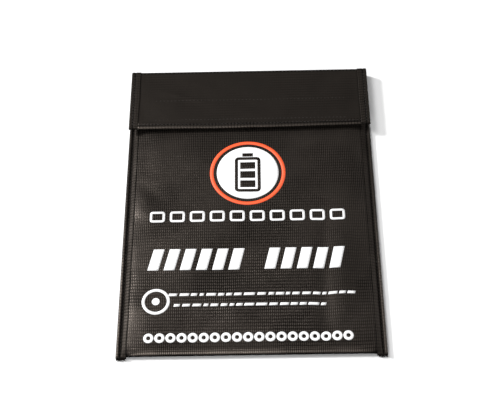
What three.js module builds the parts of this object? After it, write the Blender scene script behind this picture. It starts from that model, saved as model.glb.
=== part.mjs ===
// A flat fire-resistant bag in which lithium-polymer packs are stored and charged.
//
// One strip of coated cloth is folded up at the bottom to make the pouch, and its free
// end turns over the top as a flap that closes on a hook-and-loop strip. A thinner cloth
// lines it. Tape binds both sides, the mouth and the flap's edge.
//
// The bag lies closed on its back. X runs across its width, +Y towards the flap's fold
// and +Z up out of its front. The origin is the middle of its underside.
// Lengths are in millimetres.

import * as THREE from 'three';

const { lerp, smoothstep } = THREE.MathUtils;

// ---- Driving dimensions -------------------------------------------------------------

const WIDTH = 230; // over the side bindings
const LENGTH = 300; // from the bottom of the bindings to the back of the flap's fold
const FLAP_REACH = 69; // how far the closed flap comes down over the front
const HOLLOW = 5.6; // clear depth inside the empty pouch
const PUFF = 1.5; // how far the front swells between the flap and the bottom

const CLOTH = 0.6; // coated outer cloth
const LINER = 0.4; // plain inner cloth
const TAPE = 0.6; // binding tape
const THREAD = 0.3; // height of a row of stitches
const THREAD_WIDTH = 0.5;
const SIDE_THREAD_INSET = 4; // from the bag's sides to the stitches in the side bindings
const EDGE_THREAD_INSET = 2; // from a tape's free edge to its stitches
const TOP_THREAD_INSET = 1; // from the end of the flap's cloth to the stitches beside it
const THREAD_END_MARGIN = 3; // from a tape's cut end to the end of its stitches
const CREASE_THREAD_MARGIN = 1; // the same at the crease over the top
const GAP = 0.3; // clearance between pieces that lie on each other
const CREASE_GAP = 1.3; // clearance that lets the fold over the top turn

const SIDE_BINDING = 9; // width of a side binding on each face
const EDGE_BINDING = 6; // width of the binding on the flap's edge
const MOUTH_BINDING = 8; // width of the binding on the mouth
const SIDE_SLOPE = 14; // width over which the faces rise from the side seams

const STRIP_LENGTH = 184; // hook and loop strips
const STRIP_WIDTH = 25;
const PILE_WIDTH = 20; // the part of a strip that carries hooks or loops
const STRIP_FROM_EDGE = 8; // from the flap's edge to the strips
const LOOP_BASE = 0.5;
const LOOP_PILE = 0.6;
const HOOK_BASE = 0.4;
const HOOK_PILE = 0.5;

// ---- Positions worked out from them -------------------------------------------------

const SIDE = WIDTH / 2;
const TOP = LENGTH / 2;
const BOTTOM = -TOP;
const CLOTH_SIDE = SIDE - TAPE - GAP;
const SEAM_X = SIDE - SIDE_BINDING;
const PLATEAU_X = SEAM_X - SIDE_SLOPE;
const SIDE_THREAD_X = SIDE - SIDE_THREAD_INSET;

// The four cloth layers, low to high: back cloth, back liner, front liner, front cloth.
// SEAM holds the heights of their middles where a side seam presses them together, and
// OPEN where the pouch stands open.
const LAYERS = [CLOTH, LINER, LINER, CLOTH];
const SEAM = stackMiddles(TAPE + GAP, [GAP, GAP, GAP]);
const OPEN = stackMiddles(0, [GAP, HOLLOW, GAP]);
const SHELL_LAYER = 0;
const LINER_LAYER = 1;
const SIDE_BINDING_HEIGHT = SEAM[3] + CLOTH / 2 + GAP + TAPE;
const FRONT_TOP = OPEN[3] + CLOTH / 2;

// Between two legs of binding tape lie a liner and a cloth.
const BOUND_EDGE = TAPE + GAP + LINER + GAP + CLOTH + GAP + TAPE;

// Heights of the closure and the flap, from the pouch's front up.
const LOOP_LOW = FRONT_TOP + GAP;
const LOOP_HIGH = LOOP_LOW + LOOP_BASE + LOOP_PILE;
const HOOK_LOW = LOOP_HIGH + GAP;
const HOOK_HIGH = HOOK_LOW + HOOK_PILE + HOOK_BASE;
const FLAP_LINING_LOW = HOOK_HIGH + GAP;
const FLAP_CLOTH_LOW = FLAP_LINING_LOW + LINER + GAP;
const FLAP_CLOTH_HIGH = FLAP_CLOTH_LOW + CLOTH;
const FLAP_BINDING_LOW = FLAP_LINING_LOW - GAP - TAPE;
const FLAP_BINDING_HIGH = FLAP_BINDING_LOW + BOUND_EDGE;

// The fold that carries the flap over the top stands up behind the mouth.
const FOLD_CLOTH_Y = TOP - TAPE - GAP - CLOTH;
const FOLD_LINING_Y = FOLD_CLOTH_Y - GAP - LINER;
const FOLD_BINDING_Y = TOP - BOUND_EDGE;
const FOLD_LOW = SEAM[SHELL_LAYER] + CLOTH / 2 + 2 * GAP;
const FOLD_HIGH = FLAP_CLOTH_LOW - 3 * GAP;

// Lengthwise ends. The cloth stops short of the fold and the bindings a little sooner, so
// that the fold can turn.
const CLOTH_END = FOLD_CLOTH_Y - CREASE_GAP;
const BINDING_END = FOLD_BINDING_Y - 3 * GAP;
const MOUTH_Y = 138;
const FLAP_EDGE = TOP - FLAP_REACH;
const STRIP_LOW = FLAP_EDGE + STRIP_FROM_EDGE;
const STRIP_HIGH = STRIP_LOW + STRIP_WIDTH;
const FLAP_TOP_THREAD_Y = CLOTH_END - TOP_THREAD_INSET;
const SWELL_TOP = [50, FLAP_EDGE];
const SWELL_BOTTOM = [-140, -100];

// The bottom fold's centre line at the side seams, a little inside the bindings' ends.
const BINDING_OVERHANG = 0.8;
const SEAM_FOLD_RADIUS = (SEAM[3] - SEAM[0]) / 2;
const FOLD_CENTRE = BOTTOM + BINDING_OVERHANG + CLOTH / 2 + SEAM_FOLD_RADIUS;
const FOLD_STEPS = 8;

// ---- Materials ----------------------------------------------------------------------

function finish(color, roughness) {
  return new THREE.MeshStandardMaterial({ color, roughness, metalness: 0 });
}

const coatedCloth = () => finish(0x35302c, 0.55);
const plainCloth = () => finish(0x4a4844, 0.85);
const bindingTape = () => finish(0x2b2927, 0.75);
const thread = () => finish(0x1d1b1a, 0.7);
const loopTape = () => finish(0x191818, 0.95);
const hookTape = () => finish(0x151515, 0.6);

// ---- Geometry helpers ---------------------------------------------------------------

// Middles of the four cloth layers, stacked from a height with the given spaces between.
function stackMiddles(low, spaces) {
  const middles = [];
  let height = low;
  LAYERS.forEach((thickness, index) => {
    middles.push(height + thickness / 2);
    height += thickness + (spaces[index] ?? 0);
  });
  return middles;
}

// 0 in the side seams, 1 where the faces lie flat.
function rise(x) {
  return 1 - smoothstep(Math.abs(x), PLATEAU_X, SEAM_X);
}

function swell(y) {
  return smoothstep(y, ...SWELL_BOTTOM) * (1 - smoothstep(y, ...SWELL_TOP));
}

function layerHeight(layer, x) {
  return lerp(SEAM[layer], OPEN[layer], rise(x));
}

// Positions from low to high in equal steps, both ends included.
function evenly(low, high, steps) {
  return Array.from({ length: steps + 1 }, (_, index) => lerp(low, high, index / steps));
}

// A cloth-like solid over a grid. Its stations run across X; each row gives, for an x,
// the middle of the cloth in Y and Z and the direction in which its outer face looks.
function sheetSolid(stations, rows, thickness) {
  const columns = stations.length - 1;
  const steps = rows.length - 1;
  const geometry = new THREE.BoxGeometry(columns, steps, 1, columns, steps, 1);
  const corners = geometry.attributes.position;
  for (let index = 0; index < corners.count; index += 1) {
    const x = stations[Math.round(corners.getX(index) + columns / 2)];
    const row = rows[Math.round(corners.getY(index) + steps / 2)](x);
    const offset = corners.getZ(index) * thickness;
    corners.setXYZ(index, x, row.y + offset * row.outY, row.z + offset * row.outZ);
  }
  geometry.computeVertexNormals();
  return geometry;
}

function extrude(points, depth) {
  const shape = new THREE.Shape(points.map(([u, v]) => new THREE.Vector2(u, v)));
  return new THREE.ExtrudeGeometry(shape, { depth, bevelEnabled: false });
}

// Outline of a tape folded round an edge: the web at u = 0, the legs along u.
function channel(leg, height) {
  return [
    [0, 0],
    [leg, 0],
    [leg, TAPE],
    [TAPE, TAPE],
    [TAPE, height - TAPE],
    [leg, height - TAPE],
    [leg, height],
    [0, height],
  ];
}

function addPiece(parent, name, geometry, material) {
  const mesh = new THREE.Mesh(geometry, material);
  mesh.name = name;
  parent.add(mesh);
  return mesh;
}

// A flat plate between two opposite corners.
function addPlate(parent, name, material, low, high) {
  const size = high.map((value, axis) => value - low[axis]);
  const mesh = addPiece(parent, name, new THREE.BoxGeometry(...size), material);
  mesh.position.fromArray(high.map((value, axis) => (value + low[axis]) / 2));
  return mesh;
}

// A section drawn in X and Z, swept along Y.
function addSweptAlongY(parent, name, material, section, low, high) {
  const mesh = addPiece(parent, name, extrude(section, high - low), material);
  mesh.rotation.x = Math.PI / 2;
  mesh.position.y = high;
  return mesh;
}

// A line of stitches along each selvedge of a hook or loop strip.
function addStripThreads(parent, strip, low) {
  const margin = (STRIP_WIDTH - PILE_WIDTH - 2 * THREAD_WIDTH) / 4;
  const half = STRIP_LENGTH / 2 - margin;
  const rows = { lower: STRIP_LOW + margin, upper: STRIP_HIGH - margin - THREAD_WIDTH };
  for (const [row, y] of Object.entries(rows)) {
    addPlate(
      parent,
      `${strip}_${row}_thread`,
      thread(),
      [-half, y, low],
      [half, y + THREAD_WIDTH, low + THREAD],
    );
  }
}

// ---- The pouch ----------------------------------------------------------------------

const slopeStations = evenly(PLATEAU_X, SEAM_X, 4);
const flatStations = evenly(-PLATEAU_X, PLATEAU_X, 4);
const innerStations = mirrored(slopeStations, flatStations);

// Stations across the bag from side to side, with the same outer ones on both sides.
function mirrored(outer, middle) {
  const left = outer.slice(1).map((x) => -x).reverse();
  return [...left, ...middle, ...outer.slice(1)];
}

// One layer of the folded strip: along the back, round the bottom fold, up the front.
function foldedCloth(layer, thickness, backEnd) {
  const opposite = LAYERS.length - 1 - layer;
  const backRow = (y) => (x) => ({ y, z: layerHeight(layer, x), outY: 0, outZ: -1 });
  const frontRow = (y) => (x) => ({
    y,
    z: layerHeight(opposite, x) + PUFF * rise(x) * swell(y),
    outY: 0,
    outZ: 1,
  });
  const foldRow = (angle) => (x) => {
    const low = layerHeight(layer, x);
    const radius = (layerHeight(opposite, x) - low) / 2;
    const shellRadius = (layerHeight(3, x) - layerHeight(0, x)) / 2;
    const centre = FOLD_CENTRE + (Math.PI / 2) * (shellRadius - SEAM_FOLD_RADIUS);
    return {
      y: centre - radius * Math.sin(angle),
      z: low + radius - radius * Math.cos(angle),
      outY: -Math.sin(angle),
      outZ: -Math.cos(angle),
    };
  };
  const rows = [
    ...evenly(backEnd, SWELL_BOTTOM[0], 6).map(backRow),
    ...evenly(0, Math.PI, FOLD_STEPS).map(foldRow),
    ...evenly(...SWELL_BOTTOM, 5).map(frontRow),
    ...evenly(...SWELL_TOP, 5).map(frontRow),
    ...evenly(SWELL_TOP[1], MOUTH_Y, 2).slice(1).map(frontRow),
  ];
  const stations = [-CLOTH_SIDE, ...innerStations, CLOTH_SIDE];
  return sheetSolid(stations, rows, thickness);
}

// The tape over the front's free edge. It ends where the side seams close the mouth.
function mouthBinding() {
  const outerLeg = (x) => layerHeight(3, x) + CLOTH / 2 + GAP + TAPE / 2;
  const innerLeg = (x) => layerHeight(2, x) - LINER / 2 - GAP - TAPE / 2;
  const free = MOUTH_Y + GAP + TAPE - MOUTH_BINDING;
  const web = MOUTH_Y + GAP + TAPE / 2;
  const stations = innerStations.slice(1, -1);
  const rows = [
    (x) => ({ y: free, z: outerLeg(x), outY: 0, outZ: 1 }),
    (x) => ({ y: web, z: outerLeg(x), outY: 1, outZ: 1 }),
    (x) => ({ y: web, z: innerLeg(x), outY: 1, outZ: -1 }),
    (x) => ({ y: free, z: innerLeg(x), outY: 0, outZ: -1 }),
  ];
  const threadRow = (y) => (x) => ({
    y,
    z: outerLeg(x) + TAPE / 2 + GAP + THREAD / 2,
    outY: 0,
    outZ: 1,
  });
  const threadLow = free + EDGE_THREAD_INSET;
  const threadRows = evenly(threadLow, threadLow + THREAD_WIDTH, 1).map(threadRow);
  return {
    tape: sheetSolid(stations, rows, TAPE),
    thread: sheetSolid(stations, threadRows, THREAD),
  };
}

// A stepped tape: a flat base with a narrower pile standing on one face.
function pileStrip(base, pile) {
  const wide = STRIP_WIDTH / 2;
  const narrow = PILE_WIDTH / 2;
  const section = [
    [-wide, 0],
    [wide, 0],
    [wide, base],
    [narrow, base],
    [narrow, base + pile],
    [-narrow, base + pile],
    [-narrow, base],
    [-wide, base],
  ];
  const geometry = extrude(section, STRIP_LENGTH);
  geometry.translate(0, 0, -STRIP_LENGTH / 2);
  return geometry;
}

const pouch = new THREE.Group();
addPiece(pouch, 'pouch_shell', foldedCloth(SHELL_LAYER, CLOTH, CLOTH_END), coatedCloth());
addPiece(pouch, 'pouch_liner', foldedCloth(LINER_LAYER, LINER, BINDING_END), plainCloth());

const mouth = mouthBinding();
addPiece(pouch, 'mouth_binding', mouth.tape, bindingTape());
addPiece(pouch, 'mouth_binding_thread', mouth.thread, thread());

const loopStrip = addPiece(pouch, 'loop_strip', pileStrip(LOOP_BASE, LOOP_PILE), loopTape());
loopStrip.rotation.set(Math.PI / 2, Math.PI / 2, 0);
loopStrip.position.set(0, (STRIP_LOW + STRIP_HIGH) / 2, LOOP_LOW);
addStripThreads(pouch, 'loop_strip', LOOP_LOW + LOOP_BASE + GAP);

// ---- The fold over the top ----------------------------------------------------------

const fold = new THREE.Group();
addPlate(
  fold,
  'fold_panel',
  coatedCloth(),
  [-CLOTH_SIDE, FOLD_CLOTH_Y, FOLD_LOW],
  [CLOTH_SIDE, FOLD_CLOTH_Y + CLOTH, FOLD_HIGH],
);
addPlate(
  fold,
  'fold_lining',
  plainCloth(),
  [-CLOTH_SIDE, FOLD_LINING_Y, FOLD_LOW + GAP],
  [CLOTH_SIDE, FOLD_LINING_Y + LINER, FOLD_HIGH - 2 * GAP],
);

// ---- The flap -----------------------------------------------------------------------

const flap = new THREE.Group();
const flapClothEdge = FLAP_EDGE + TAPE + GAP;
addPlate(
  flap,
  'flap_panel',
  coatedCloth(),
  [-CLOTH_SIDE, flapClothEdge, FLAP_CLOTH_LOW],
  [CLOTH_SIDE, CLOTH_END, FLAP_CLOTH_HIGH],
);
addPlate(
  flap,
  'flap_lining',
  plainCloth(),
  [-CLOTH_SIDE, flapClothEdge, FLAP_LINING_LOW],
  [CLOTH_SIDE, CLOTH_END - GAP, FLAP_LINING_LOW + LINER],
);

const edgeSection = channel(EDGE_BINDING, BOUND_EDGE);
const edgeHalf = SEAM_X - GAP;
const edgeBinding = addPiece(
  flap,
  'flap_edge_binding',
  extrude(edgeSection, 2 * edgeHalf),
  bindingTape(),
);
edgeBinding.rotation.set(Math.PI / 2, Math.PI / 2, 0);
edgeBinding.position.set(-edgeHalf, FLAP_EDGE, FLAP_BINDING_LOW);

const flapThreadLow = FLAP_BINDING_HIGH + GAP;
const edgeThreadY = FLAP_EDGE + EDGE_BINDING - EDGE_THREAD_INSET;
addPlate(
  flap,
  'flap_edge_thread',
  thread(),
  [-edgeHalf, edgeThreadY, flapThreadLow],
  [edgeHalf, edgeThreadY + THREAD_WIDTH, flapThreadLow + THREAD],
);
addPlate(
  flap,
  'flap_top_thread',
  thread(),
  [-edgeHalf, FLAP_TOP_THREAD_Y, FLAP_CLOTH_HIGH + GAP],
  [edgeHalf, FLAP_TOP_THREAD_Y + THREAD_WIDTH, FLAP_CLOTH_HIGH + GAP + THREAD],
);

const hookStrip = addPiece(flap, 'hook_strip', pileStrip(HOOK_BASE, HOOK_PILE), hookTape());
hookStrip.rotation.set(-Math.PI / 2, Math.PI / 2, 0);
hookStrip.position.set(0, (STRIP_LOW + STRIP_HIGH) / 2, HOOK_HIGH);
addStripThreads(flap, 'hook_strip', FLAP_CLOTH_HIGH + GAP);

// ---- Side bindings and their stitches, left and right -------------------------------

for (const [side, direction] of [['left', -1], ['right', 1]]) {
  const outward = ([inset, height]) => [direction * (SIDE - inset), height];
  const pouchSection = channel(SIDE_BINDING, SIDE_BINDING_HEIGHT).map(outward);
  const boundSection = channel(SIDE_BINDING, BOUND_EDGE).map(outward);
  const threadEdges = [
    direction * SIDE_THREAD_X,
    direction * (SIDE_THREAD_X + THREAD_WIDTH),
  ].sort((a, b) => a - b);

  addSweptAlongY(pouch, `${side}_binding`, bindingTape(), pouchSection, BOTTOM, BINDING_END);
  const pouchThreadLow = SIDE_BINDING_HEIGHT + GAP;
  addPlate(
    pouch,
    `${side}_binding_thread`,
    thread(),
    [threadEdges[0], BOTTOM + THREAD_END_MARGIN, pouchThreadLow],
    [threadEdges[1], BINDING_END - THREAD_END_MARGIN, pouchThreadLow + THREAD],
  );

  const flapBinding = addSweptAlongY(
    flap,
    `flap_${side}_binding`,
    bindingTape(),
    boundSection,
    FLAP_EDGE,
    BINDING_END,
  );
  flapBinding.position.z = FLAP_BINDING_LOW;
  addPlate(
    flap,
    `flap_${side}_thread`,
    thread(),
    [threadEdges[0], FLAP_EDGE + THREAD_END_MARGIN, flapThreadLow],
    [threadEdges[1], BINDING_END - CREASE_THREAD_MARGIN, flapThreadLow + THREAD],
  );

  const foldBinding = addPiece(
    fold,
    `fold_${side}_binding`,
    extrude(boundSection, FOLD_HIGH - FOLD_LOW),
    bindingTape(),
  );
  foldBinding.position.set(0, FOLD_BINDING_Y, FOLD_LOW);
}

const bag = new THREE.Group();
bag.add(pouch, fold, flap);

export default bag;
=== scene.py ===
# The looks of a flat charging bag for lithium-polymer packs, lying closed on its back.
#
# Coated cloth, a thinner lining, binding tapes, stitches, the hook-and-loop closure and
# the print are each pieces of their own. X runs across the bag, +Y towards the flap's
# fold and +Z up out of its front. Lengths here are in millimetres until a mesh is made.

import math

import bpy
import numpy as np
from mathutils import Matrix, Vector


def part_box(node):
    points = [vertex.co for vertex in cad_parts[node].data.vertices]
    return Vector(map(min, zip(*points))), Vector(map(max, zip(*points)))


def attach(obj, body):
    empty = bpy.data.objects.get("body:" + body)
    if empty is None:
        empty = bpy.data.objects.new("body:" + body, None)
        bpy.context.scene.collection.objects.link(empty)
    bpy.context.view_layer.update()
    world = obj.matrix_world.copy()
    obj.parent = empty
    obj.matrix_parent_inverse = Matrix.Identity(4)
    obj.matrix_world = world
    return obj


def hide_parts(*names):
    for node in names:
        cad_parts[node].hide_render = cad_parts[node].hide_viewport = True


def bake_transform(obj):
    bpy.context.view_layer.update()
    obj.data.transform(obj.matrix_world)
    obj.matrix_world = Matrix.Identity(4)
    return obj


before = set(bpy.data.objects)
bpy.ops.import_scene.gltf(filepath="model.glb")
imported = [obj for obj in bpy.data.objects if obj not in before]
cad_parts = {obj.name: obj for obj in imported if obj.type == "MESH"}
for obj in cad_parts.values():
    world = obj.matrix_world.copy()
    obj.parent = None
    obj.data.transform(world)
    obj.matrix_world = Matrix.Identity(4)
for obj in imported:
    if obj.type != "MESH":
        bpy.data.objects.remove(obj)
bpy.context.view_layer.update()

MM = 0.001
X, Y, Z = range(3)

# ---- Sizes taken from the CAD model ----


def low(node):
    return np.array(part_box(node)[0]) / MM


def high(node):
    return np.array(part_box(node)[1]) / MM


def middle_of(node):
    return (low(node) + high(node)) / 2


def size_of(node):
    return high(node) - low(node)


SIDE = high("right_binding")[X]
SEAM_X = low("right_binding")[X]
CLOTH_SIDE = high("pouch_shell")[X]
BOTTOM = low("left_binding")[Y]
SEAM_HIGH = high("left_binding")[Z]
CLOTH = size_of("flap_panel")[Z]
LINING = size_of("flap_lining")[Z]
TAPE = (high("flap_edge_binding") - high("flap_panel"))[Z] / 2
SPINE_Y = middle_of("fold_panel")[Y]
SPINE_MIDDLE = middle_of("fold_panel")[Z]
BACK_FLAT = CLOTH / 2
BACK_SEAM = 1.2  # middle of the back cloth where the side seams hold it
FRONT_SEAM = SEAM_HIGH - BACK_SEAM
FRONT_FLAT = low("loop_strip")[Z] - CLOTH
PUFF = high("pouch_shell")[Z] - CLOTH / 2 - FRONT_FLAT
FLAP_HEIGHT = middle_of("flap_panel")[Z]
FLAP_EDGE = low("flap_edge_binding")[Y]
TAPE_OVERHANG = 0.9  # how far a tape reaches past the edge of the cloth in it
MOUTH_Y = high("mouth_binding")[Y] - TAPE_OVERHANG
STRIP_LOW, STRIP_HIGH = low("loop_strip")[Y], high("loop_strip")[Y]
STRIP_HALF = high("loop_strip")[X]
THREAD_X = middle_of("right_binding_thread")[X]
TOP_THREAD_Y = middle_of("flap_top_thread")[Y]

# ---- Shape of the soft parts ----

TUCK = 0.05  # air between two layers that are sewn together
PLATEAU_X = 90.0  # the faces lie flat inside this
PINCH_X = 110.2  # and are pressed together outside this
FREE_X = (100.0, 106.0)  # further out, the seams hold the cloth still
PILLOW = 0.85  # a lower power swells more fully beside the seams
GROOVE_DEPTH = 1.1  # how far the stitches pull the front in
BACK_GROOVE_DEPTH = 0.3  # and the back
GROOVE_WIDTH = 1.0
CREASE_RADIUS = 2.2  # of the outer cloth where it turns over the top
CORNER_Y = SPINE_Y - CREASE_RADIUS
SWELL_BOTTOM = (-140.0, -100.0)  # the front swells up over this stretch
SWELL_TOP = (50.0, 81.0)  # and sinks back over this one
ROLL_START, ROLL_END = -136.0, -147.5  # the front bends down to the bottom fold
ROLL_LENGTH = 13.5
ROLL_DROP = 7.0
ROLL_STEEPEST = 0.95  # the share of its quarter round that the bend uses
ROLL_DARK = 4.0  # the bottom fold's underside is painted with shade below this height
FLAP_DIP = 1.1  # how far the front sinks beside the flap's edge
FLAP_DIP_WIDTH = 6.0
UNEVEN_BOTTOM = (-147.0, -132.0)  # the front's unevenness sets in over this stretch
UNEVEN_TOP = (66.0, 84.0)  # and dies out over this one
RIDGE_SHARE = 0.55  # what stands proud is rounded off, to stay inside the bag's thickness
UNEVEN_SINK = 0.35  # lowers the uneven stretch as a whole
PUCKER = 0.22  # height of the small waves that run in from the side seams
PUCKER_REACH = 7.0
FLAP_FREE_Y = (138.0, 146.0)  # the flap evens out over this stretch, towards its fold
EDGE_WAVE = 0.16  # of the flap's edge, up and down
EDGE_WAVE_REACH = 30.0
STITCH_PITCH = 3.6
STITCH_LENGTH = 2.3
STITCH_WIDTH = 0.7
STITCH_PROUD = 0.08  # of a stitch's middle over the face that it lies on
PRINT_LIFT = 0.14  # from the cloth's face to the top of the ink
PRINT_THICKNESS = 0.1

# Folds pressed into the front: start, end, half width and height of each.
FRONT_CREASES = [
    ((-112, 30), (-80, 0), 6.5, -0.8),
    ((-113, 4), (-90, -14), 6.0, 0.75),
    ((-99, 88), (-97, 18), 9.0, -1.5),
    ((-99, -18), (-98, -52), 9.0, -0.8),
    ((-112, -62), (-92, -84), 7.0, 1.2),
    ((-112, -98), (-84, -124), 7.0, 0.7),
    ((66, -18), (61, -146), 7.0, -1.1),
    ((83, -14), (78, -146), 7.5, 1.5),
    ((99, -10), (94, -140), 7.0, -0.7),
    ((102, 70), (98, 10), 9.0, -0.5),
    ((-60, -112), (40, -118), 10.0, 0.3),
    ((-40, 74), (60, 70), 9.0, 0.25),
]

# The same for the flap.
FLAP_CREASES = [
    ((-100, 128), (-30, 108), 5.0, 0.18),
    ((-77, 122.5), (-41, 109.6), 2.4, 0.22),
    ((10, 138), (80, 126), 7.0, -0.15),
    ((60, 92), (104, 100), 6.0, 0.15),
]


def lerp(start, end, share):
    return start + (end - start) * share


def smoothstep(value, start, end):
    share = np.clip((value - start) / (end - start), 0, 1)
    return share * share * (3 - 2 * share)


def fade(value, start, end):
    """1 before the start and 0 after the end."""
    return 1 - smoothstep(value, start, end)


def unit(vectors):
    return vectors / np.linalg.norm(vectors, axis=-1, keepdims=True)


def near(distance, width):
    """1 on a line, fading out to its sides."""
    return np.exp(-((distance / width) ** 2))


def ripples(x, y, wavelength, seed, waves=9):
    """Uneven waves about 1 high, the same ones on each run."""
    random = np.random.default_rng(seed)
    total = 0
    for _ in range(waves):
        angle, phase = random.uniform(0, 2 * math.pi, 2)
        length = wavelength * random.uniform(0.7, 1.6)
        along = x * math.cos(angle) + y * math.sin(angle)
        total = total + np.sin(2 * math.pi * along / length + phase)
    return total / math.sqrt(waves / 2)


def crease(x, y, start, end, width, height):
    """A long ridge, or a dent where its height is negative, that fades out at its ends."""
    along_x, along_y = end[0] - start[0], end[1] - start[1]
    length = math.hypot(along_x, along_y)
    share = ((x - start[0]) * along_x + (y - start[1]) * along_y) / length**2
    away = ((x - start[0]) * along_y - (y - start[1]) * along_x) / length
    strength = smoothstep(share, -0.25, 0.3) * fade(share, 0.7, 1.25)
    return height * strength * near(away, width)


def rise(x):
    """0 in the side seams and 1 where the faces lie flat, rounded like a thin pillow."""
    share = np.clip((PINCH_X - np.abs(x)) / (PINCH_X - PLATEAU_X), 0, 1)
    return np.sin(share * math.pi / 2) ** PILLOW


def groove(x):
    return near(np.abs(x) - THREAD_X, GROOVE_WIDTH)


def back_height(x):
    """Middle of the back cloth."""
    return lerp(BACK_SEAM, BACK_FLAT, rise(x)) + BACK_GROOVE_DEPTH * groove(x)


def front_height(x, y):
    """Middle of the front cloth."""
    flat = rise(x)
    swell = smoothstep(y, *SWELL_BOTTOM) * fade(y, *SWELL_TOP)
    free = fade(y, *UNEVEN_TOP) * smoothstep(y, *UNEVEN_BOTTOM) * flat
    uneven = 0.16 * ripples(x, y, 62, seed=4) + 0.05 * ripples(x, y, 21, seed=9)
    for fold in FRONT_CREASES:
        uneven = uneven + crease(x, y, *fold)
    near_seam = np.exp(-np.clip(PINCH_X - np.abs(x), 0, None) / PUCKER_REACH)
    pucker = PUCKER * near_seam * ripples(x * 0.1, y, 17, seed=2)
    height = lerp(FRONT_SEAM, FRONT_FLAT, flat) + PUFF * flat * swell
    share = np.clip((ROLL_START - y) / ROLL_LENGTH, 0, ROLL_STEEPEST)
    height = height - ROLL_DROP * flat * (1 - np.sqrt(1 - share**2))
    height = height - FLAP_DIP * flat * near(y - FLAP_EDGE, FLAP_DIP_WIDTH)
    lift = np.where(uneven > 0, RIDGE_SHARE, 1.0) * uneven - UNEVEN_SINK
    return height + free * (lift + pucker) - GROOVE_DEPTH * groove(x)


def flap_unevenness(x, y):
    """How far the flap's cloth lies above or below its flat height."""
    over_strip = (
        smoothstep(y, STRIP_LOW - 2.5, STRIP_LOW + 0.5)
        * fade(y, STRIP_HIGH - 0.5, STRIP_HIGH + 2.5)
        * fade(np.abs(x), STRIP_HALF - 1, STRIP_HALF + 3)
    )
    inside = fade(np.abs(x), *FREE_X) * smoothstep(y, FLAP_EDGE + 5, FLAP_EDGE + 9)
    inside = inside * fade(y, *FLAP_FREE_Y)
    uneven = 0.09 * ripples(x, y, 48, seed=21) - 0.12 * (1 - over_strip)
    for fold in FLAP_CREASES:
        uneven = uneven + crease(x, y, *fold)
    return inside * uneven


def flap_edge_bow(x):
    """The flap's edge isn't quite straight: its right end is a little further up."""
    share = x / SIDE
    return -0.7 + 0.8 * share + 1.3 * share**2


def flap_edge_wave(x, y):
    """The flap's edge also waves up and down a little, less so further up the flap."""
    strength = fade(y, FLAP_EDGE, FLAP_EDGE + EDGE_WAVE_REACH)
    return EDGE_WAVE * ripples(x, 0 * x, 80, seed=33) * strength


# ---- Meshes ----


class Shape:
    """The closed shells that make up one piece, with their flat cloth coordinates."""

    def __init__(self):
        self.points = []
        self.flat = []
        self.faces = []
        self.sharp = []
        self.shade_and_wear = []
        self.count = 0

    def add(self, points, flat, faces, sharp, shade_and_wear=None):
        self.points.append(points)
        self.flat.append(flat)
        self.shade_and_wear.append(np.zeros(len(points)) if shade_and_wear is None else shade_and_wear)
        self.faces.extend([tuple(int(i) + self.count for i in face) for face in faces])
        self.sharp.extend(sharp)
        self.count += len(points)

    def build(self, name, material):
        points = np.concatenate(self.points) * MM
        flat = np.concatenate(self.flat) * MM
        mesh = bpy.data.meshes.new(name)
        mesh.from_pydata(points.tolist(), [], self.faces)
        mesh.polygons.foreach_set("use_smooth", [not hard for hard in self.sharp])
        corners = np.zeros(len(mesh.loops), np.int32)
        mesh.loops.foreach_get("vertex_index", corners)
        mesh.uv_layers.new(name="cloth").data.foreach_set("uv", flat[corners].ravel())
        shade_and_wear = np.concatenate(self.shade_and_wear).astype(np.float32)
        # This attribute holds painted shade above 0 and extra gloss on rubbed places below 0.
        mesh.attributes.new("shade_and_wear", "FLOAT", "POINT").data.foreach_set("value", shade_and_wear)
        mesh.materials.append(material)
        mesh.update()
        piece = bpy.data.objects.new(name, mesh)
        bpy.context.scene.collection.objects.link(piece)
        return piece


def cloth_shade_and_rub(middle):
    """Above 0 for painted shade where the cloth is pressed in, beside the tapes and under the bottom
    fold; below 0 where a fold is rubbed and shines more.
    """
    x, y, z = np.abs(middle[..., X]), middle[..., Y], middle[..., Z]
    above = smoothstep(z, FLAP_HEIGHT - 1, FLAP_HEIGHT - 0.5)
    # Painted shade along the flap's top row of stitches.
    top_row = above * near(y - TOP_THREAD_Y, 0.6)
    # Painted shadow of the tape's edge on the cloth beside it.
    beside_tape = (0.8 - 0.4 * above) * near(x - SEAM_X + 0.2, 0.7)
    at_fold = fade(y, ROLL_START - 10, ROLL_START - 4)
    # Painted shade on the underside of the bottom fold.
    under = at_fold * fade(z, ROLL_DARK - 0.5, ROLL_DARK + 0.5)
    bright = at_fold * (1 - under) * fade(x, *FREE_X)
    # Painted shade in the stitch grooves, beside the tapes, along the top row and under the fold.
    dark = groove(x) + beside_tape + 0.9 * top_row + under
    return np.clip(dark, 0, 1) - bright


def grid_faces(rows, columns, wrap=False):
    """Quads of a grid whose points are numbered row by row."""
    last = columns if wrap else columns - 1
    return [
        (
            row * columns + column,
            row * columns + (column + 1) % columns,
            (row + 1) * columns + (column + 1) % columns,
            (row + 1) * columns + column,
        )
        for row in range(rows - 1)
        for column in range(last)
    ]


def grid_normals(middle, wrap=False):
    down = np.gradient(middle, axis=0)
    if wrap:
        across = np.roll(middle, -1, axis=1) - np.roll(middle, 1, axis=1)
    else:
        across = np.gradient(middle, axis=1)
    return unit(np.cross(across, down))


def facing(middle, direction, wrap=False):
    """The grid, turned over if needed so that its outer face looks that way at its start."""
    normal = grid_normals(middle, wrap)[0, 0]
    return middle if normal @ np.array(direction) > 0 else middle[:, ::-1]


def flat_coordinates(middle):
    """Distances along the cloth, across and down its grid."""
    across = np.linalg.norm(np.diff(middle, axis=1), axis=2)
    down = np.linalg.norm(np.diff(middle, axis=0), axis=2)
    u = np.pad(np.cumsum(across, axis=1), ((0, 0), (1, 0)))
    v = np.pad(np.cumsum(down, axis=0), ((1, 0), (0, 0)))
    u = u - u[:, u.shape[1] // 2][:, None]
    return np.stack([u, v], axis=2)


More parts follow.
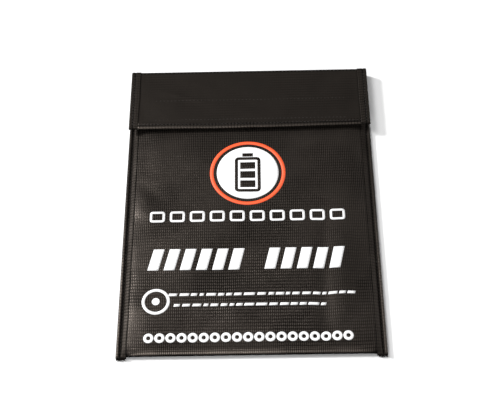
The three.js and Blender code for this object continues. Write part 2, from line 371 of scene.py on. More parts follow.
def add_sheet(shape, middle, thickness, flat=None, wrap=False, shade_and_wear=None):
    """A closed thin solid round a grid of middle points, rows by columns."""
    rows, columns = middle.shape[:2]
    normals = grid_normals(middle, wrap)
    outer = (middle + normals * thickness / 2).reshape(-1, 3)
    inner = (middle - normals * thickness / 2).reshape(-1, 3)
    flat = flat_coordinates(middle) if flat is None else flat
    flat = flat.reshape(-1, 2)
    quads = grid_faces(rows, columns, wrap)
    size = rows * columns
    edges = {edge for quad in quads for edge in zip(quad, quad[1:] + quad[:1])}
    border = [edge for edge in edges if edge[::-1] not in edges]
    faces = quads + [tuple(size + i for i in quad[::-1]) for quad in quads]
    faces += [(b, a, a + size, b + size) for a, b in sorted(border)]
    sharp = [False] * (2 * len(quads)) + [True] * len(border)
    if shade_and_wear is not None:
        shade_and_wear = np.concatenate([shade_and_wear.ravel(), shade_and_wear.ravel()])
    shape.add(np.concatenate([outer, inner]), np.concatenate([flat, flat]), faces, sharp, shade_and_wear)


def add_stitches(shape, middles, directions, normals, length, width, height):
    """Short threads lying on a surface, their ends dipping into it."""
    spans = np.array([-0.5, -0.38, -0.15, 0.15, 0.38, 0.5])
    fatness = np.array([0.3, 0.8, 1.0, 1.0, 0.8, 0.3])
    sink = np.array([-0.6, -0.15, 0.05, 0.05, -0.15, -0.6])
    sides = 7
    turns = np.arange(sides) * 2 * math.pi / sides
    sideways = np.cross(normals, directions)
    for middle, along, up, across in zip(middles, directions, normals, sideways):
        centres = middle + np.outer(spans * length, along) + np.outer(sink * height, up)
        ring = np.cos(turns)[:, None] * across * width / 2
        ring = ring + np.sin(turns)[:, None] * up * height / 2
        points = centres[:, None] + ring[None] * fatness[:, None, None]
        u = np.broadcast_to(turns / (2 * math.pi) * width * 3, (len(spans), sides))
        v = np.broadcast_to((spans * length)[:, None], (len(spans), sides))
        faces = grid_faces(len(spans), sides, wrap=True)
        first = tuple(range(sides))[::-1]
        last = tuple((len(spans) - 1) * sides + i for i in range(sides))
        flat = np.stack([u, v], axis=2).reshape(-1, 2)
        shape.add(points.reshape(-1, 3), flat, faces + [first, last], [False] * (len(faces) + 2))


def stitch_line(shape, path, normals, pitch=STITCH_PITCH, length=STITCH_LENGTH, seed=1):
    """Stitches at an even pitch along a path, each a little out of line."""
    random = np.random.default_rng(seed)
    steps = np.linalg.norm(np.diff(path, axis=0), axis=1)
    distance = np.concatenate([[0], np.cumsum(steps)])
    places = np.arange(pitch / 2, distance[-1], pitch)

    def at(values, where):
        return np.stack([np.interp(where, distance, values[:, k]) for k in range(3)], axis=1)

    directions = unit(at(path, places + 0.5) - at(path, places - 0.5))
    ups = unit(at(normals, places))
    sideways = np.cross(ups, directions)
    directions = directions + sideways * random.normal(0, 0.05, (len(places), 1))
    middles = at(path, places) + sideways * random.normal(0, 0.06, (len(places), 1))
    add_stitches(shape, middles, directions, ups, length, STITCH_WIDTH, STITCH_WIDTH * 0.9)


# ---- Materials ----


def colour(red, green, blue):
    return (red, green, blue, 1.0)


# Painted shade: the colour that grooves, tape edges and the fold's underside are darkened towards.
PAINTED_SHADE = colour(0.002, 0.002, 0.002)
WARM_GLOSS = colour(1.0, 0.84, 0.72)
RUBBED_GLOSS = 4.2  # how much brighter a rubbed fold shines
RIB_PITCH = 1.75  # of the coated cloth's yarns, across
ROW_PITCH = 3.0  # and along
OPEN_WEAVE_PLACES = (360.0, 470.0)  # along the cloth, the weave closes between these two


class Graph:
    """A material's nodes, with short calls for the ones used here."""

    def __init__(self, name):
        self.material = bpy.data.materials.new(name)
        self.material.use_nodes = True
        self.tree = self.material.node_tree
        self.shader = self.tree.nodes["Principled BSDF"]

    def node(self, kind, **settings):
        made = self.tree.nodes.new(kind)
        for key, value in settings.items():
            setattr(made, key, value)
        return made

    def feed(self, socket, value):
        if isinstance(value, bpy.types.NodeSocket):
            self.tree.links.new(value, socket)
        else:
            socket.default_value = value

    def set(self, name, value):
        self.feed(self.shader.inputs[name], value)

    def math(self, operation, *values, clamp=False):
        made = self.node("ShaderNodeMath", operation=operation, use_clamp=clamp)
        for socket, value in zip(made.inputs, values):
            self.feed(socket, value)
        return made.outputs[0]

    def times(self, first, second, clamp=False):
        return self.math("MULTIPLY", first, second, clamp=clamp)

    def range(self, value, low, high, start=0.0, end=1.0):
        made = self.node("ShaderNodeMapRange", interpolation_type="SMOOTHSTEP")
        for socket, given in zip(made.inputs, (value, low, high, start, end)):
            self.feed(socket, given)
        return made.outputs[0]

    def cloth(self):
        """Flat cloth coordinates across and along, in millimetres."""
        place = self.node("ShaderNodeUVMap", uv_map="cloth")
        scaled = self.node("ShaderNodeVectorMath", operation="SCALE")
        self.feed(scaled.inputs[0], place.outputs[0])
        scaled.inputs["Scale"].default_value = 1 / MM
        parts = self.node("ShaderNodeSeparateXYZ")
        self.feed(parts.inputs[0], scaled.outputs[0])
        return scaled.outputs[0], parts.outputs[0], parts.outputs[1]

    def finish_cloth(self, base, gloss):
        """Sets colour and gloss: painted shade darkens colour and gloss where the attribute is above 0,
        and rubbed folds shine more where it is below 0.
        """
        # Above 0 this paints shade into colour and gloss; below 0 it raises the gloss.
        shade_and_wear = self.node("ShaderNodeAttribute", attribute_name="shade_and_wear").outputs["Fac"]
        dull = self.times(shade_and_wear, 0.95, clamp=True)
        rubbed = self.times(shade_and_wear, -1.0, clamp=True)
        self.set("Base Color", self.blend(dull, base, PAINTED_SHADE))
        share = self.math("SUBTRACT", self.math("MULTIPLY_ADD", rubbed, RUBBED_GLOSS, 1.0), dull)
        self.set("Specular IOR Level", self.times(gloss, share))
        self.set("Specular Tint", WARM_GLOSS)

    def noise(self, vector, scale, detail=2.0, roughness=0.5):
        made = self.node("ShaderNodeTexNoise")
        self.feed(made.inputs["Vector"], vector)
        made.inputs["Scale"].default_value = scale
        made.inputs["Detail"].default_value = detail
        made.inputs["Roughness"].default_value = roughness
        return made.outputs[0]

    def blend(self, factor, first, second):
        made = self.node("ShaderNodeMix", data_type="RGBA")
        self.feed(made.inputs[0], factor)
        self.feed(made.inputs[6], first)
        self.feed(made.inputs[7], second)
        return made.outputs[2]

    def bump(self, height, distance, strength=1.0, below=None):
        made = self.node("ShaderNodeBump")
        made.inputs["Strength"].default_value = strength
        made.inputs["Distance"].default_value = distance * MM
        self.feed(made.inputs["Height"], height)
        if below is not None:
            self.feed(made.inputs["Normal"], below)
        return made.outputs[0]


def yarn(graph, place, pitch, edge, gap=0.0):
    """1 on top of a yarn, 0 between two of them."""
    wave = graph.math("SINE", graph.times(place, math.pi / pitch))
    return graph.range(graph.math("ABSOLUTE", wave), gap, edge)


def weave_cells(graph, rib_edge=1.0, row_edge=0.85, rib_share=0.6, row_share=1.0):
    """Height of the pressed weave: short upright cells in rows."""
    vector, across, along = graph.cloth()
    wander = graph.times(graph.noise(vector, 0.05), 1.2)
    ribs = yarn(graph, graph.math("ADD", across, wander), RIB_PITCH, rib_edge, 0.2)
    ribs = graph.range(ribs, 0.0, 1.0, 1.0 - rib_share, 1.0)
    rows = yarn(graph, graph.math("ADD", along, wander), ROW_PITCH, row_edge, 0.15)
    rows = graph.range(rows, 0.0, 1.0, 1.0 - row_share, 1.0)
    return vector, graph.times(ribs, rows)


def coated_cloth(
    name, dark, light, weave_depth, roughness, gloss, rib_share, row_share, filled, open_weave=1.0
):
    """The weave shows through the coating, less so where the coating fills it.

    The gaps between the yarns widen by the power open_weave towards the sheet's start."""
    graph = Graph(name)
    vector, cells = weave_cells(graph, rib_share=rib_share, row_share=row_share)
    if open_weave > 1:
        along = graph.cloth()[2]
        cells = graph.math("POWER", cells, graph.range(along, *OPEN_WEAVE_PLACES, open_weave, 1.0))
    bare = graph.range(graph.noise(vector, 0.018, 2.0), 0.42, 0.6, 1.0 - filled, 1.0)
    gaps = graph.times(graph.math("SUBTRACT", 1.0, cells), bare)
    cells = graph.math("SUBTRACT", 1.0, gaps)
    patches = graph.noise(vector, 0.02, 4.0)
    grain = graph.noise(vector, 1.1, 3.0, 0.7)
    specks = graph.range(graph.noise(vector, 0.9, 2.0, 0.8), 0.74, 0.8)
    shade = graph.times(cells, graph.range(grain, 0.2, 0.85, 0.45, 1.15))
    shade = graph.times(shade, graph.range(patches, 0.3, 0.7, 0.7, 1.2), clamp=True)
    base = graph.blend(shade, dark, light)
    base = graph.blend(graph.times(specks, 0.35), base, colour(0.12, 0.11, 0.1))
    graph.finish_cloth(base, graph.range(cells, 0.0, 0.8, *gloss))
    worn = graph.range(patches, 0.25, 0.75, roughness + 0.07, roughness - 0.06)
    graph.set("Roughness", graph.math("SUBTRACT", worn, graph.times(cells, 0.06)))
    coarse = graph.bump(graph.noise(vector, 0.12, 3.0), 0.35, 0.5)
    woven = graph.bump(cells, weave_depth, 0.9, below=coarse)
    graph.set("Normal", graph.bump(grain, 0.03, 0.6, below=woven))
    return graph.material


def plain_weave(name, dark, light, pitch, depth, roughness, sheen):
    """Fine over-and-under weave, for the lining."""
    graph = Graph(name)
    vector, across, along = graph.cloth()
    grain = graph.noise(vector, 1.6, 3.0, 0.7)
    patches = graph.noise(vector, 0.03, 3.0)
    warp = yarn(graph, across, pitch, 0.9)
    weft = yarn(graph, along, pitch * 0.8, 0.9)
    height = graph.times(warp, weft)
    shade = graph.times(height, graph.range(grain, 0.2, 0.8, 0.5, 1.1))
    shade = graph.times(shade, graph.range(patches, 0.3, 0.7, 0.75, 1.15), clamp=True)
    graph.finish_cloth(graph.blend(shade, dark, light), 0.15)
    graph.set("Roughness", graph.range(grain, 0.2, 0.8, roughness + 0.08, roughness - 0.08))
    graph.set("Sheen Weight", sheen)
    graph.set("Sheen Roughness", 0.45)
    coarse = graph.bump(graph.noise(vector, 0.25, 3.0), 0.25, 0.5)
    graph.set("Normal", graph.bump(height, depth, 0.9, below=coarse))
    return graph.material


def ink(name, dull, bright):
    """Screen print on the weave: it follows the cells and is worn thin in places."""
    graph = Graph(name)
    vector, cells = weave_cells(graph, 0.6, 0.5)
    shade_and_wear = graph.noise(vector, 0.6, 4.0, 0.7)
    cover = graph.range(cells, 0.0, 0.5, 0.72, 1.0)
    cover = graph.times(cover, graph.range(shade_and_wear, 0.15, 0.4, 0.8, 1.0), clamp=True)
    graph.set("Base Color", graph.blend(cover, dull, bright))
    graph.set("Roughness", graph.range(shade_and_wear, 0.2, 0.8, 0.62, 0.5))
    graph.set("Normal", graph.bump(cells, 0.06, 0.8))
    return graph.material


def spun_thread(name, dark, light):
    """Two-ply thread: slanted strands."""
    graph = Graph(name)
    vector, across, along = graph.cloth()
    slant = graph.math("ADD", graph.times(across, 1.3), along)
    strands = yarn(graph, slant, 0.45, 0.9)
    fuzz = graph.noise(vector, 4.0, 2.0)
    graph.set("Base Color", graph.blend(strands, dark, light))
    graph.set("Roughness", graph.range(fuzz, 0.2, 0.8, 0.7, 0.5))
    graph.set("Specular IOR Level", 0.25)
    graph.set("Normal", graph.bump(strands, 0.08, 0.9))
    return graph.material


def pile(name, dark, light, scale):
    """Matt fuzz of the hook and loop strips."""
    graph = Graph(name)
    vector = graph.cloth()[0]
    fuzz = graph.noise(vector, scale, 5.0, 0.75)
    curls = graph.node("ShaderNodeTexVoronoi")
    graph.feed(curls.inputs["Vector"], vector)
    curls.inputs["Scale"].default_value = scale * 0.8
    height = graph.math("ADD", fuzz, curls.outputs["Distance"])
    graph.set("Base Color", graph.blend(graph.range(height, 0.4, 1.2), dark, light))
    graph.set("Roughness", graph.range(fuzz, 0.2, 0.8, 0.95, 0.8))
    graph.set("Sheen Weight", 0.3)
    graph.set("Normal", graph.bump(height, 0.3, 0.9))
    return graph.material


FRONT_CLOTH = coated_cloth(
    "coated cloth",
    dark=colour(0.002, 0.0017, 0.0014),
    light=colour(0.034, 0.0285, 0.0245),
    weave_depth=0.17,
    roughness=0.37,
    gloss=(0.05, 0.2),
    rib_share=0.93,
    row_share=0.5,
    filled=0.3,
    open_weave=1.9,
)
FLAP_CLOTH = coated_cloth(
    "flap cloth",
    dark=colour(0.004, 0.0034, 0.003),
    light=colour(0.0175, 0.0147, 0.0126),
    weave_depth=0.03,
    roughness=0.4,
    gloss=(0.09, 0.13),
    rib_share=0.25,
    row_share=0.45,
    filled=0.85,
)
LINING_CLOTH = plain_weave(
    "lining", colour(0.03, 0.028, 0.026), colour(0.1, 0.095, 0.088), 0.9, 0.12, 0.8, 0.05
)
TAPE_CLOTH = coated_cloth(
    "binding tape",
    dark=colour(0.003, 0.0025, 0.002),
    light=colour(0.026, 0.022, 0.019),
    weave_depth=0.12,
    roughness=0.42,
    gloss=(0.05, 0.12),
    rib_share=0.5,
    row_share=0.85,
    filled=0.3,
)
THREAD = spun_thread("sewing thread", colour(0.006, 0.005, 0.0045), colour(0.035, 0.03, 0.026))
LOOP_PILE = pile("loop pile", colour(0.003, 0.003, 0.003), colour(0.02, 0.019, 0.018), 1.5)
HOOK_PILE = pile("hook tape", colour(0.003, 0.003, 0.003), colour(0.016, 0.015, 0.015), 2.0)
ORANGE_INK = ink("orange ink", colour(0.45, 0.04, 0.015), colour(1.0, 0.115, 0.03))
WHITE_INK = ink("white ink", colour(0.5, 0.48, 0.47), colour(0.93, 0.93, 0.93))


# ---- Outer cloth and linings ----


EVEN_X = 94.0  # the sheets' columns stand closer together beyond this
LINING_MARGIN = 0.4  # the lining ends this far inside the cloth's side edges
LINING_INWARD = CLOTH / 2 + TUCK + LINING / 2
SPINE_POINTS, CORNER_POINTS, BOTTOM_POINTS = 5, 9, 13
BACK_POINTS, FRONT_POINTS, FLAP_POINTS = 92, 150, 76


def stations_across(half):
    """Places across the bag, closer together near the seams."""
    middle = np.linspace(0, EVEN_X, 40)
    edge = np.linspace(EVEN_X, half, 22)[1:]
    right = np.concatenate([middle, edge])
    return np.concatenate([-right[:0:-1], right])


def arc(centre_y, centre_z, radius, start, end, steps):
    """Points on a circle in Y and Z. An angle of 0 looks along +Y, 90 degrees along +Z."""
    angles = np.radians(np.linspace(start, end, steps))
    return centre_y + radius * np.cos(angles), centre_z + radius * np.sin(angles)


def shifted(y, z, inward):
    """A line in Y and Z, moved off to the inner side of the cloth."""
    step_y, step_z = np.gradient(y), np.gradient(z)
    length = np.hypot(step_y, step_z)
    return y + inward * step_z / length, z - inward * step_y / length


def pouch_column(x, inward):
    """One lengthwise line of the pouch's cloth, from the spine round to the mouth."""
    back = back_height(x)
    corner_z = back + CREASE_RADIUS
    end_z = front_height(x, ROLL_END)
    slope = math.atan(float(front_height(x, ROLL_END + 0.1) - end_z) / 0.1)
    radius = (end_z - back) / (1 + math.cos(slope))
    fold_y = ROLL_END + radius * math.sin(slope)
    up = ROLL_END + (MOUTH_Y - ROLL_END) * np.linspace(0, 1, FRONT_POINTS) ** 1.15
    spine_z = np.linspace(SPINE_MIDDLE, corner_z, SPINE_POINTS)
    parts = [
        (np.full(SPINE_POINTS, SPINE_Y), spine_z),
        arc(CORNER_Y, corner_z, CREASE_RADIUS, 0, -90, CORNER_POINTS),
        (np.linspace(CORNER_Y, fold_y, BACK_POINTS), np.full(BACK_POINTS, back)),
        arc(fold_y, back + radius, radius, -90, -270 + math.degrees(slope), BOTTOM_POINTS),
        (up, front_height(x, up)),
    ]
    # Each part starts where the one before it ends, so its first point is left out.
    y = np.concatenate([parts[0][0]] + [part[0][1:] for part in parts[1:]])
    z = np.concatenate([parts[0][1]] + [part[1][1:] for part in parts[1:]])
    y, z = shifted(y, z, inward)
    return np.stack([np.full(len(y), x), y, z], axis=1)


def flap_column(x, inward):
    """One lengthwise line of the flap's cloth, from the spine to the flap's edge."""
    corner_z = FLAP_HEIGHT - CREASE_RADIUS
    spine = np.linspace(SPINE_MIDDLE, corner_z, SPINE_POINTS)
    turn_y, turn_z = arc(CORNER_Y, corner_z, CREASE_RADIUS - inward, 0, 90, CORNER_POINTS)
    edge_y = FLAP_EDGE + TAPE_OVERHANG + flap_edge_bow(x)
    along = CORNER_Y - (CORNER_Y - edge_y) * np.linspace(0, 1, FLAP_POINTS) ** 1.25
    top = FLAP_HEIGHT - inward + flap_unevenness(x, along) + flap_edge_wave(x, along)
    y = np.concatenate([np.full(SPINE_POINTS, SPINE_Y - inward), turn_y[1:], along[1:]])
    z = np.concatenate([spine, turn_z[1:], top[1:]])
    return np.stack([np.full(len(y), x), y, z], axis=1)


def sheet_piece(name, column, half, inward, thickness, material):
    columns = [column(x, inward) for x in stations_across(half)]
    middle = facing(np.stack(columns, axis=1), (0, 1, 0))
    shape = Shape()
    add_sheet(shape, middle, thickness, shade_and_wear=cloth_shade_and_rub(middle))
    return shape.build(name, material)


outer_cloth = sheet_piece("outer_cloth", pouch_column, CLOTH_SIDE, 0, CLOTH, FRONT_CLOTH)
flap_cloth = sheet_piece("flap_cloth", flap_column, CLOTH_SIDE, 0, CLOTH, FLAP_CLOTH)
lining_side = CLOTH_SIDE - LINING_MARGIN
pouch_lining, flap_lining = [
    sheet_piece(name, column, lining_side, LINING_INWARD, LINING, LINING_CLOTH)
    for name, column in (("pouch_lining", pouch_column), ("flap_lining_cloth", flap_column))
]

# ---- Folded tapes and their stitches ----

OUTER_LEG, TURN, INNER_LEG = 12, 9, 22  # points across each part of a folded tape
OUTER_PART = slice(0, OUTER_LEG)
TURN_PART = slice(OUTER_LEG, OUTER_LEG + TURN)
INNER_PART = slice(OUTER_LEG + TURN, OUTER_LEG + TURN + INNER_LEG)
ROUNDEST_TURN = 1.9
TAPE_WAVER = 0.12  # how far a side tape's free edge strays
BULGE, BULGE_WIDTH = 0.28, 2.2  # of the tape between two stitches
FLANGE_RISE = 0.75  # of a side tape's outer edge over its front leg
FLANGE_X = (111.8, 113.3)
RUBBED_X = (112.2, 113.2)  # the side tapes' outer edge is rubbed bright
RUBBED_Y = (-90.0, 20.0)  # fully up to the first, and not at all above the second
SIDE_RUB = 0.7
SEWN_WIDTH = 0.65  # of the painted shade line along the groove that each row of stitches presses into a tape
PULL_WIDTH = 0.8  # of the groove in the tapes that run across
SPINE_EASE = (136.0, 145.0)  # the side tapes take on the spine's offsets over this stretch
BACK_STITCH = 0.5  # room under the back tape's groove, so that its stitches clear the table
SIDE_ROWS, TURN_ROWS, SPINE_ROWS, FLAP_ROWS = 247, 8, 5, 56
SIDE_WIDTH = SIDE - SEAM_X

# How far the threads lie in from the folded edges of the tapes that run across.
EDGE_THREAD = middle_of("flap_edge_thread")[Y] - FLAP_EDGE
MOUTH_THREAD = (high("mouth_binding") - high("mouth_binding_thread"))[Y]

# From the middle of the cloth to the middle of a tape on its outer and inner faces.
OUTER_OFFSET = CLOTH / 2 + TUCK + TAPE / 2
INNER_OFFSET = LINING_INWARD + LINING / 2 + TUCK + TAPE / 2
POUCH_OUTER = 0.9
POUCH_INNER = FRONT_SEAM - BACK_SEAM + 0.65
FLAP_OUTER = OUTER_OFFSET + 0.1
FLAP_INNER = 1.5


def folded_profile(width, outer, inner):
    """A tape folded round an edge, from the outer leg's free edge to the inner leg's.

    Gives distances in from the folded edge, and offsets from the middle of the cloth."""
    turn = min((outer + inner) / 2, ROUNDEST_TURN)
    centre = TAPE / 2 + turn
    angles = np.linspace(math.pi / 2, -math.pi / 2, TURN + 2)[1:-1]
    legs = np.linspace(width, centre, OUTER_LEG), np.linspace(centre, width, INNER_LEG)
    inset = np.concatenate([legs[0], centre - turn * np.cos(angles), legs[1]])
    turned = (outer - inner) / 2 + (outer + inner) / 2 * np.sin(angles)
    offset = np.concatenate([np.full(OUTER_LEG, outer), turned, np.full(INNER_LEG, -inner)])
    return inset, offset


def dimples(distance):
    """The stitches pull the tape down where they dive in."""
    return 0.5 + 0.5 * math.cos(2 * math.pi * distance / STITCH_PITCH)


def pressed_towards_cloth(offset, amount):
    return offset - np.sign(offset) * amount


# A station is a place on the cloth's side edge, for one row of a tape's grid. It holds Y
# and Z, the way the outer face looks in Y and Z, the outer and inner offsets, the distance
# along the tape, and a share that is 1 where the tape wraps both of the pouch's layers.


def side_tape_row(side, station):
    """One cross-section of a side tape."""
    y, z, normal_y, normal_z, outer, inner, distance, layers = station
    width = SIDE_WIDTH + TAPE_WAVER * float(ripples(distance, 3.0 * side, 40, seed=51))
    inset, offset = folded_profile(width, outer, inner)
    x = SIDE - inset
    bulge = near(x - THREAD_X, BULGE_WIDTH) * (1 - dimples(distance))
    uneven = 1 + 0.5 * float(ripples(distance, 5.0 * side, 13, seed=52))
    pull = groove(x) * (0.3 + 0.3 * dimples(distance)) - BULGE * uneven * bulge
    offset = pressed_towards_cloth(offset, pull)
    if layers > 0:
        room = z - TAPE / 2 - BACK_STITCH * groove(x[OUTER_PART])
        offset[OUTER_PART] = np.minimum(offset[OUTER_PART], room)
        front = front_height(side * x[INNER_PART], y) + OUTER_OFFSET
        flange = FLANGE_RISE * smoothstep(x[INNER_PART], *FLANGE_X)
        follow = z - front - flange + pull[INNER_PART]
        offset[INNER_PART] = lerp(offset[INNER_PART], follow, layers)
        share = (offset[TURN_PART] - outer) / (-inner - outer)
        offset[TURN_PART] = lerp(outer, offset[INNER_PART.start], share)
    return np.stack([side * x, y + normal_y * offset, z + normal_z * offset], axis=1)


def turn_stations(centre_z, start, end):
    stations = []
    for angle in np.radians(np.linspace(start, end, TURN_ROWS))[1:]:
        normal_y, normal_z = math.cos(angle), math.sin(angle)
        y = CORNER_Y + CREASE_RADIUS * normal_y
        z = centre_z + CREASE_RADIUS * normal_z
        stations.append((y, z, normal_y, normal_z, OUTER_OFFSET, INNER_OFFSET, y + z, 0))
    return stations


def spine_stations(start, end):
    heights = np.linspace(start, end, SPINE_ROWS)
    return [(SPINE_Y, z, 1, 0, OUTER_OFFSET, INNER_OFFSET, z, 0) for z in heights]


def pouch_tape_stations():
    """From the bottom of the bag up its side and to the middle of the spine."""
    stations = []
    for y in np.linspace(BOTTOM + 0.2, CORNER_Y, SIDE_ROWS):
        near_fold = float(smoothstep(y, *SPINE_EASE))
        outer = lerp(POUCH_OUTER, OUTER_OFFSET, near_fold)
        inner = lerp(POUCH_INNER, INNER_OFFSET, near_fold)
        stations.append((y, BACK_SEAM, 0, -1, outer, inner, y - BOTTOM, 1 - near_fold))
    corner_z = BACK_SEAM + CREASE_RADIUS
    return stations + turn_stations(corner_z, -90, 0) + spine_stations(corner_z, SPINE_MIDDLE)[1:]


def flap_tape_stations(side):
    """From the middle of the spine over the top and down to the flap's edge."""
    corner_z = FLAP_HEIGHT - CREASE_RADIUS
    stations = spine_stations(SPINE_MIDDLE, corner_z) + turn_stations(corner_z, 0, 90)
    end = FLAP_EDGE + float(flap_edge_bow(side * SIDE))
    for y in np.linspace(CORNER_Y, end, FLAP_ROWS)[1:]:
        away = float(fade(y, SPINE_EASE[0], CORNER_Y))
        outer = lerp(OUTER_OFFSET, FLAP_OUTER, away)
        inner = lerp(INNER_OFFSET, FLAP_INNER, away)
        height = FLAP_HEIGHT + float(flap_edge_wave(side * SIDE, y))
        stations.append((y, height, 0, 1, outer, inner, y - BOTTOM, 0))
    return stations


def tape_across(half, rows, profile, thread, pull, place):
    """A folded tape that runs across the bag, pulled in along its row of stitches.

    The pull is the steady part and what is added where a stitch dives in. The place
    function turns distances and offsets at an x into Y and Z."""
    grid = []
    for x in np.linspace(-half, half, rows):
        inset, offset = folded_profile(*profile)
        pressed = near(inset - thread, PULL_WIDTH) * (pull[0] + pull[1] * dimples(x))
        y, z = place(x, inset, pressed_towards_cloth(offset, pressed))
        grid.append(np.stack([np.full(len(y), x), y, z], axis=1))
    return np.stack(grid)


def on_flap_edge(x, inset, offset):
    y = FLAP_EDGE + float(flap_edge_bow(x)) + inset
    return y, FLAP_HEIGHT + float(flap_edge_wave(x, FLAP_EDGE)) + offset


def on_mouth(x, inset, offset):
    y = high("mouth_binding")[Y] - inset
    return y, front_height(x, y) + offset


def sewn_tape(name, grid, direction, shade_and_wear, axis, value, seed, rows=slice(None)):
    """A tape, with its outer leg looking in a direction, and the stitches on both its legs.

    The stitches follow the columns of the grid nearest to a value on an axis."""
    flipped = grid_normals(grid)[0, OUTER_LEG // 3] @ np.array(direction) < 0
    tape = Shape()
    if flipped:
        add_sheet(tape, grid[:, ::-1], TAPE, shade_and_wear=shade_and_wear[:, ::-1])
    else:
        add_sheet(tape, grid, TAPE, shade_and_wear=shade_and_wear)
    row = Shape()
    used = grid[rows]
    for part in (OUTER_PART, INNER_PART):
        away = np.abs(np.abs(used[len(used) // 2, part, axis]) - value)
        column = part.start + int(np.argmin(away))
        normals = grid_normals(used)[:, column] * (-1 if flipped else 1)
        line = used[:, column] + normals * (TAPE / 2 + STITCH_PROUD)
        stitch_line(row, line, normals, seed=seed)
    return tape.build(f"{name}_tape", TAPE_CLOTH), row.build(f"{name}_stitches", THREAD)


tapes = {}
for side_name, side in (("left", -1), ("right", 1)):
    for part, stations, direction, seed, rows in (
        ("side", pouch_tape_stations(), (0, 0, -1), 5, slice(3, SIDE_ROWS - 4)),
        ("flap", flap_tape_stations(side), (0, 1, 0), 9, slice(SPINE_ROWS + TURN_ROWS + 1, -3)),
    ):
        grid = np.stack([side_tape_row(side, station) for station in stations])
        x, y = np.abs(grid[..., X]), grid[..., Y]
        rubbed = SIDE_RUB * smoothstep(x, *RUBBED_X) * fade(y, *RUBBED_Y)
        # Painted shade along each tape's stitch groove, less the extra gloss of the rubbed outer edge.
        shade_and_wear = near(x - THREAD_X, SEWN_WIDTH) - rubbed
        name = f"{side_name}_{part}"
        tapes[name] = sewn_tape(name, grid, direction, shade_and_wear, X, THREAD_X, seed + side, rows)

edge_profile = (size_of("flap_edge_binding")[Y], FLAP_OUTER - TUCK, FLAP_INNER - TUCK)
grid = tape_across(SEAM_X + 0.4, 177, edge_profile, EDGE_THREAD, (0.2, 0.25), on_flap_edge)
line = FLAP_EDGE + float(flap_edge_bow(0.0)) + EDGE_THREAD
lip = fade(grid[..., Y] - FLAP_EDGE - flap_edge_bow(grid[..., X]), 1.0, 2.2)
# Painted shade along the stitch groove, less the extra gloss of the folded lip.
shade_and_wear = near(grid[..., Y] - line, SEWN_WIDTH) - lip
tapes["edge"] = sewn_tape("flap_edge", grid, (0, 0, 1), shade_and_wear, Y, line, seed=21)

mouth_profile = (size_of("mouth_binding")[Y], OUTER_OFFSET, INNER_OFFSET)
mouth_half = high("mouth_binding")[X]
grid = tape_across(mouth_half, 171, mouth_profile, MOUTH_THREAD, (0.15, 0.2), on_mouth)
line = high("mouth_binding")[Y] - MOUTH_THREAD
# Painted shade along the stitch groove.
shade_and_wear = near(grid[..., Y] - line, SEWN_WIDTH)
tapes["mouth"] = sewn_tape("mouth", grid, (0, 0, 1), shade_and_wear, Y, line, seed=22)

# ---- Stitch rows across the flap and the strips ----

LOOP_BASE, LOOP_PILE_HEIGHT, HOOK_BASE = 0.5, 0.6, 0.4
HOOK_ROW_PROUD = -0.2  # these rows sink into the flap's coating


def flap_face(x, y):
    return FLAP_HEIGHT + flap_unevenness(x, y) + CLOTH / 2


def loop_base_middle(x, y):
    return front_height(x, y) + CLOTH / 2 + TUCK + LOOP_BASE / 2


def loop_face(x, y):
    return loop_base_middle(x, y) + LOOP_BASE / 2


def hook_base_middle(x, y):
    return FLAP_HEIGHT + flap_unevenness(x, y) - LINING_INWARD - LINING / 2 - TUCK - HOOK_BASE / 2


def hook_face(x, y):
    return hook_base_middle(x, y) - HOOK_BASE / 2


def row_across(name, y, half, seed, *faces):
    """Stitches straight across the bag at y.

    Each face has a height, 1 or -1 for up or down, and how far the stitches stand proud."""
    shape = Shape()
    x = np.linspace(-half, half, 120)
    for height, way, proud in faces:
        up = np.broadcast_to(np.array([0.0, 0.0, way]), (len(x), 3))
        line = np.stack([x, np.full(len(x), y), height(x, y) + way * proud], axis=1)
        stitch_line(shape, line, up, seed=seed)
    return shape.build(name, THREAD)


top_half = high("flap_top_thread")[X]
top_face = (flap_face, 1, STITCH_PROUD)
top_stitches = row_across("flap_top_stitches", TOP_THREAD_Y, top_half, 31, top_face)
row_half = high("hook_strip_lower_thread")[X]
hook_faces = ((flap_face, 1, HOOK_ROW_PROUD), (hook_face, -1, STITCH_PROUD))
loop_faces = ((loop_face, 1, STITCH_PROUD),)
strip_rows = {}
for strip, seed, faces in (("hook", 32, hook_faces), ("loop", 34, loop_faces)):
    for index, name in enumerate(("lower", "upper")):
        y = middle_of(f"hook_strip_{name}_thread")[Y]
        row = row_across(f"{strip}_{name}_stitches", y, row_half, seed + index, *faces)
        strip_rows[f"{strip}_{name}"] = row

# ---- Hook and loop strips ----

PILE_MARGIN = 2.5  # bare selvedge on each long side of a strip
PILE_INSET = 0.6  # and at each end of the loops
PILE_SINK = 0.1  # of the loops into their base
TUFT = 0.25  # the most that a tuft stands up or lies low


def strip_grid(half, low_y, high_y, step, height):
    x = np.linspace(-half, half, int(2 * half / step) + 1)
    y = np.linspace(low_y, high_y, int((high_y - low_y) / step) + 1)
    across, along = np.meshgrid(x, y)
    return np.stack([across, along, height(across, along)], axis=2)


def loop_pile_middle(x, y):
    tufts = 0.13 * ripples(x, y, 2.6, seed=61, waves=14) + 0.05 * ripples(x, y, 7, seed=62)
    return loop_face(x, y) + LOOP_PILE_HEIGHT / 2 - PILE_SINK + np.clip(tufts, -TUFT, TUFT)


